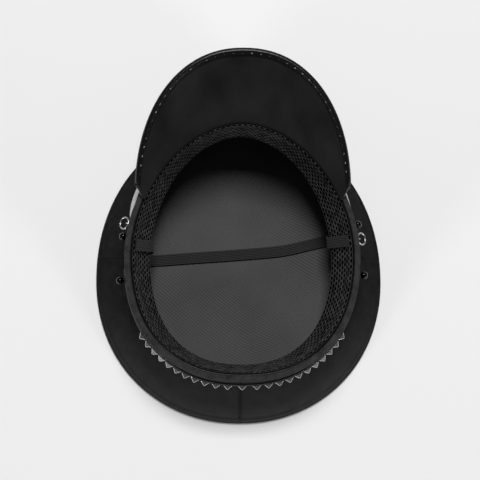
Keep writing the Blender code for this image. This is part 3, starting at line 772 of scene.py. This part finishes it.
def back_strap_face(turn):
    """How far out the strap's outer face stands, with its loose middle a little off the band."""
    share = min(1.0, abs(abs(turn) - math.pi) / BACK_STRAP_LOOSE_TURN)
    return BAND_FACE + GAP + BACK_STRAP_THICKNESS + BACK_STRAP_SPREAD * (1 - share ** 2) ** 2


def back_strap_place(around, up):
    """A point of the leather's outer face, rounded off at its two long edges."""
    turn = BACK_STRAP_TURN + (2 * math.pi - 2 * BACK_STRAP_TURN) * around
    depth = BACK_STRAP_TOP + BACK_STRAP_WIDTH * (1 - up)
    edge_drop = LEATHER_EDGE_DROP * abs(2 * up - 1) ** 10
    return wall_point(turn, depth, back_strap_face(turn) - edge_drop)


back_strap = add_sheet("back_strap_leather", 160, 14, back_strap_place)
apply_modifier(back_strap, "SOLIDIFY", thickness=BACK_STRAP_THICKNESS - LEATHER_EDGE_DROP, offset=-1)
# Vegetable tanned leather, dyed black: a fine pebbled grain with a dull wax finish
leather, leather_shader = start_material("black_dyed_leather", Roughness=0.5, Specular_IOR_Level=0.35)
leather_at = add_node(leather, "ShaderNodeTexCoord", {}, {})
leather_pebble = add_node(leather, "ShaderNodeTexVoronoi", {},
                          {"Vector": leather_at.outputs["Object"], "Scale": 1100.0})
leather_tone = add_node(leather, "ShaderNodeMix", {"data_type": "RGBA"},
                        {0: leather_pebble.outputs["Distance"], 6: linear("#161616"), 7: linear("#060606")})
connect(leather, leather_tone.outputs[2], leather_shader, "Base Color")
leather_bump = add_node(leather, "ShaderNodeBump", {"invert": True},
                        {"Height": leather_pebble.outputs["Distance"], "Strength": 0.5, "Distance": 0.0002})
connect(leather, leather_bump.outputs["Normal"], leather_shader, "Normal")
set_up(back_strap, leather, "black_leather", "back_strap")


def wall_frame(turn, depth, outward):
    """A point beside the band and the directions outwards, along the band and down there."""
    point = wall_point(turn, depth, outward)
    ahead, behind = turn + NEARBY_TURN, turn - NEARBY_TURN
    along = (wall_point(ahead, depth, outward) - wall_point(behind, depth, outward)).normalized()
    down = (wall_point(turn, depth + 0.001, outward) - point).normalized()
    return point, down.cross(along).normalized(), along, down


bpy.ops.object.select_all(action="DESELECT")
bpy.ops.mesh.primitive_cone_add(vertices=4, radius1=STUD_BASE / math.sqrt(2), radius2=STUD_TIP / math.sqrt(2),
                                depth=STUD_HEIGHT)
stud = bpy.context.object
stud.data.transform(Matrix.Rotation(math.radians(45), 4, "Z"))


def bare_metal(name, roughness, mark_scale, dark, light):
    """A metal finish whose brightness is broken up by fine marks."""
    material, shader = start_material(name, Roughness=roughness, Metallic=1.0)
    place = add_node(material, "ShaderNodeTexCoord", {}, {})
    marks = add_node(material, "ShaderNodeTexNoise", {},
                     {"Vector": place.outputs["Object"], "Scale": mark_scale, "Detail": 3.0})
    tone = add_node(material, "ShaderNodeMix", {"data_type": "RGBA"},
                    {0: marks.outputs["Fac"], 6: linear(dark), 7: linear(light)})
    connect(material, tone.outputs[2], shader, "Base Color")
    return material, shader, marks


# Nickel-plated steel, painted dark on the studs' faces as painted shade, with a few fine scratches
steel, steel_shader, steel_scratch = bare_metal("nickel_plate_painted_dark", 0.22, 700.0, "#484848", "#727272")
steel_bump = add_node(steel, "ShaderNodeBump", {},
                      {"Height": steel_scratch.outputs["Fac"], "Strength": 0.1, "Distance": 0.0002})
connect(steel, steel_bump.outputs["Normal"], steel_shader, "Normal")
# The same plate painted bright on the bevelled edges, as painted highlights
bright = bare_metal("nickel_plate_painted_bright", 0.15, 700.0, "#b4b4b4", "#dcdcdc")[0]
stud.data.materials.append(steel)
stud.data.materials.append(bright)
apply_modifier(stud, "BEVEL", width=STUD_BEVEL, segments=2, limit_method="ANGLE", material=1)
for index in range(STUD_COUNT):
    turn = STUD_TURN + (2 * math.pi - 2 * STUD_TURN) * index / (STUD_COUNT - 1)
    point, out, along, down = wall_frame(turn, BACK_STRAP_TOP + BACK_STRAP_WIDTH / 2,
                                         back_strap_face(turn) + GAP + STUD_HEIGHT / 2)
    node = f"pyramid_stud_{index + 1:02d}"
    copy = place_copy(stud, node + "_polished", point, along, out.cross(along).normalized(), out)
    set_up(copy, steel, "bright_steel", node)
bpy.data.objects.remove(stud)

# Fittings at both sides: a ball stud beside a small wire ring in a staple, and a second ball stud on
# the end of the back strap. The balls are turned and plated black, the wire is plain steel.
BALL_RADIUS = 0.0031
BALL_NECK = 0.0016
BALL_FOOT = 0.0026
RING_RADIUS = 0.0047
RING_WIRE = 0.0006
RING_HANG = math.radians(48)
STAPLE_WIRE = 0.0006
FITTING_DEPTH = 0.0150
RING_DEPTH = 0.0180
STAPLE_STEPS = 12
RING_STEPS = 48

# Columns: wearer's side, its sign in X, turn of the ring, of the ball beside it and of the side ball
FITTINGS = (("right", 1, 75.0, 81.0, 98.7), ("left", -1, 81.5, 75.5, 96.4))

bpy.ops.object.select_all(action="DESELECT")
ball_rise = BALL_NECK / 2 + math.sqrt(BALL_RADIUS ** 2 - BALL_NECK ** 2)
bpy.ops.mesh.primitive_uv_sphere_add(segments=32, ring_count=20, radius=BALL_RADIUS,
                                     location=(0, 0, ball_rise))
ball = bpy.context.object
ball.data.transform(ball.matrix_world)
ball.matrix_world = Matrix.Identity(4)
bpy.ops.mesh.primitive_cylinder_add(vertices=32, radius=BALL_FOOT, depth=BALL_NECK / 2,
                                    location=(0, 0, BALL_NECK / 4))
foot = bpy.context.object
foot.data.transform(foot.matrix_world)
foot.matrix_world = Matrix.Identity(4)
apply_modifier(foot, "BEVEL", width=0.0003, segments=2, limit_method="ANGLE")
ball_stud = join_pieces([ball, foot], "ball_stud")
bpy.ops.object.shade_smooth_by_angle(angle=math.radians(40))
# Black nickel plate: a dark mirror with a slight haze
black_nickel = bare_metal("black_nickel_plate", 0.12, 500.0, "#161616", "#2e2e2e")[0]
# Drawn steel wire: grey, with fine lines from the die
wire = bare_metal("drawn_steel_wire", 0.3, 900.0, "#9a9a9a", "#d2d2d2")[0]


def add_wire(name, points, radius, closed):
    """Round wire along points, made from a curve and turned into a mesh."""
    curve = bpy.data.curves.new(name, "CURVE")
    curve.dimensions = "3D"
    curve.bevel_depth = radius
    curve.bevel_resolution = 3
    curve.use_fill_caps = True
    spline = curve.splines.new("POLY")
    spline.points.add(len(points) - 1)
    for target, point in zip(spline.points, points):
        target.co = (*point, 1)
    spline.use_cyclic_u = closed
    made = bpy.data.objects.new(name, curve)
    bpy.context.collection.objects.link(made)
    bpy.ops.object.select_all(action="DESELECT")
    made.select_set(True)
    bpy.context.view_layer.objects.active = made
    bpy.ops.object.convert(target="MESH")
    bpy.ops.object.shade_smooth()
    return bpy.context.object


for side, sign, ring_turn, ball_turn, side_turn in FITTINGS:
    strap_face = back_strap_face(math.radians(side_turn))
    for node, turn, outward in ((f"ring_stud_{side}", ball_turn, BAND_FACE + GAP),
                                (f"side_stud_{side}", side_turn, strap_face + GAP)):
        point, out, along, down = wall_frame(sign * math.radians(turn), FITTING_DEPTH, outward)
        copy = place_copy(ball_stud, node + "_ball", point, along, out.cross(along).normalized(), out)
        set_up(copy, black_nickel, "black_nickel", node)

    loop = RING_WIRE + 2 * GAP + STAPLE_WIRE
    leg = 2 * RING_WIRE
    held, out, along, down = wall_frame(sign * math.radians(ring_turn), RING_DEPTH, BAND_FACE)
    bend = [held + out * (GAP + leg + loop * math.sin(math.pi * step / STAPLE_STEPS))
            + down * loop * math.cos(math.pi * step / STAPLE_STEPS) for step in range(STAPLE_STEPS + 1)]
    feet = [held + out * GAP + down * loop * way for way in (1, -1)]
    staple = add_wire(f"ring_staple_{side}_wire", [feet[0], *bend, feet[1]], STAPLE_WIRE, False)
    set_up(staple, wire, "ring_steel", f"ring_staple_{side}")
    hang = (out * math.cos(RING_HANG) + down * math.sin(RING_HANG)).normalized()
    centre = held + out * (GAP + leg + loop - STAPLE_WIRE - GAP - RING_WIRE) + hang * RING_RADIUS
    loop_points = [centre - hang * RING_RADIUS * math.cos(2 * math.pi * step / RING_STEPS)
                   + along * RING_RADIUS * math.sin(2 * math.pi * step / RING_STEPS)
                   for step in range(RING_STEPS)]
    ring = add_wire(f"side_ring_{side}_wire", loop_points, RING_WIRE, True)
    set_up(ring, wire, "ring_steel", f"side_ring_{side}")
bpy.data.objects.remove(ball_stud)

# The chin strap: flat ribbed elastic, sewn in at both sides below the rim. It curls back under the
# sweatband at each side and lies stowed across the lining.
CHIN_STRAP_WIDTH = 0.0094
CHIN_STRAP_THICKNESS = 0.0012
CHIN_STRAP_RIBS = 7
ELASTIC_RIB = 0.00035

# Columns: share of the half width at the sweatband's foot, towards the wearer's right, share of the
# rim's width behind the rim's middle, and share of the drop from the sweatband's foot to the lining
CHIN_STRAP_RUN = ((1.00, -0.0750, 0.20), (1.08, -0.0650, 0.46), (1.14, -0.0550, 0.74), (1.11, -0.0480, 0.94),
                  (1.00, -0.0478, 1.00), (0.82, -0.0525, 1.00), (0.50, -0.0620, 1.00), (0.00, -0.0760, 1.00),
                  (-0.50, -0.0948, 1.00), (-0.82, -0.1220, 1.00), (-1.00, -0.1385, 1.00),
                  (-1.11, -0.1390, 0.94), (-1.14, -0.1310, 0.74), (-1.08, -0.1200, 0.46),
                  (-1.00, -0.1080, 0.20))
# Columns: sign of the side in X, turn in degrees at the stub's top and at its foot
CHIN_STRAP_STUBS = ((1, 85.0, 82.9), (-1, 82.6, 80.5))
CHIN_STRAP_STUB_SHARES = (0.02, 0.30, 0.58, 0.80, 1.00)
CHIN_STRAP_STEPS = 220
CHIN_STRAP_CLEAR = 0.00075
TOP_THICKNESS = 0.0016
LINING_THICKNESS = 0.001

slant = math.atan(LEAN_SIDES / SWEATBAND_HEIGHT)
inward = (SWEATBAND_THICKNESS + CHIN_STRAP_THICKNESS / 2) / math.cos(slant) + CHIN_STRAP_CLEAR
strap_foot = sweatband_point(math.pi / 2, 1.0, inward)
lying = TOP_THICKNESS + GAP + LINING_THICKNESS + CHIN_STRAP_CLEAR + CHIN_STRAP_THICKNESS / 2
route = []
for sign, top_turn, foot_turn in CHIN_STRAP_STUBS:
    stub = []
    for share in CHIN_STRAP_STUB_SHARES:
        turn = sign * math.radians(top_turn + (foot_turn - top_turn) * share)
        ahead = sweatband_point(turn + sign * NEARBY_TURN, share, inward)
        behind = sweatband_point(turn - sign * NEARBY_TURN, share, inward)
        stub.append((sweatband_point(turn, share, inward), (ahead - behind).normalized()))
    if sign > 0:
        route += stub
        route += [(Vector((share * strap_foot.x, along * 2 * RIM["side"] + RIM["middle"],
                           strap_foot.z + drop * (lying - strap_foot.z))), Vector((0, 1, 0)))
                  for share, along, drop in CHIN_STRAP_RUN]
    else:
        route += stub[::-1]


def strap_place(across, along):
    """A point of the elastic's upper face, with its ribs."""
    centre = smooth_along([point for point, width in route], along)
    width = smooth_along([width for point, width in route], along).normalized()
    ahead = smooth_along([point for point, width in route], min(1, along + 0.002))
    behind = smooth_along([point for point, width in route], max(0, along - 0.002))
    up = width.cross(ahead - behind).normalized()
    rib = ELASTIC_RIB * (abs(math.sin(math.pi * CHIN_STRAP_RIBS * across)) - 1)
    return centre + width * ((across - 0.5) * CHIN_STRAP_WIDTH) + up * (CHIN_STRAP_THICKNESS / 2 + rib)


chin_strap = add_sheet("chin_strap_elastic", 42, CHIN_STRAP_STEPS, strap_place)
apply_modifier(chin_strap, "SOLIDIFY", thickness=CHIN_STRAP_THICKNESS - ELASTIC_RIB, offset=-1)
# Braided elastic: dull black yarn, with ribs along it and fine cross threads
elastic, elastic_shader = start_material("braided_elastic", Roughness=0.75, Specular_IOR_Level=0.2,
                                         Sheen_Weight=0.06)
elastic_at = add_node(elastic, "ShaderNodeTexCoord", {}, {})
elastic_scale = add_node(elastic, "ShaderNodeMapping", {},
                         {"Vector": elastic_at.outputs["UV"], "Scale": (9.4, 60.0, 1.0)})
elastic_cross = add_node(elastic, "ShaderNodeTexNoise", {},
                         {"Vector": elastic_scale.outputs["Vector"], "Scale": 2.4, "Detail": 3.0})
elastic_noise = add_node(elastic, "ShaderNodeTexNoise", {},
                         {"Vector": elastic_at.outputs["Object"], "Scale": 900.0, "Detail": 3.0})
elastic_ribs = add_node(elastic, "ShaderNodeTexWave", {"bands_direction": "X"},
                        {"Vector": elastic_at.outputs["UV"], "Scale": 0.314 * CHIN_STRAP_RIBS})
elastic_yarn = add_node(elastic, "ShaderNodeMath", {"operation": "MULTIPLY"},
                        {0: elastic_cross.outputs["Fac"], 1: elastic_noise.outputs["Fac"]})
elastic_sum = add_node(elastic, "ShaderNodeMath", {"operation": "MULTIPLY_ADD"},
                       {0: elastic_ribs.outputs["Fac"], 1: 0.8, 2: elastic_yarn.outputs[0]})
elastic_tone = add_node(elastic, "ShaderNodeMix", {"data_type": "RGBA"},
                        {0: elastic_sum.outputs[0], 6: linear("#010101"), 7: linear("#2e2e2e")})
connect(elastic, elastic_tone.outputs[2], elastic_shader, "Base Color")
elastic_bump = add_node(elastic, "ShaderNodeBump", {},
                        {"Height": elastic_sum.outputs[0], "Strength": 0.4, "Distance": 0.0002})
connect(elastic, elastic_bump.outputs["Normal"], elastic_shader, "Normal")
set_up(chin_strap, elastic, "ribbed_elastic", "chin_strap")
strap_line = [smooth_along([point for point, width in route], step / CHIN_STRAP_STEPS)
              for step in range(CHIN_STRAP_STEPS + 1)]
strap_length = sum((end - start).length for start, end in zip(strap_line, strap_line[1:]))
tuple(strap_line[0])
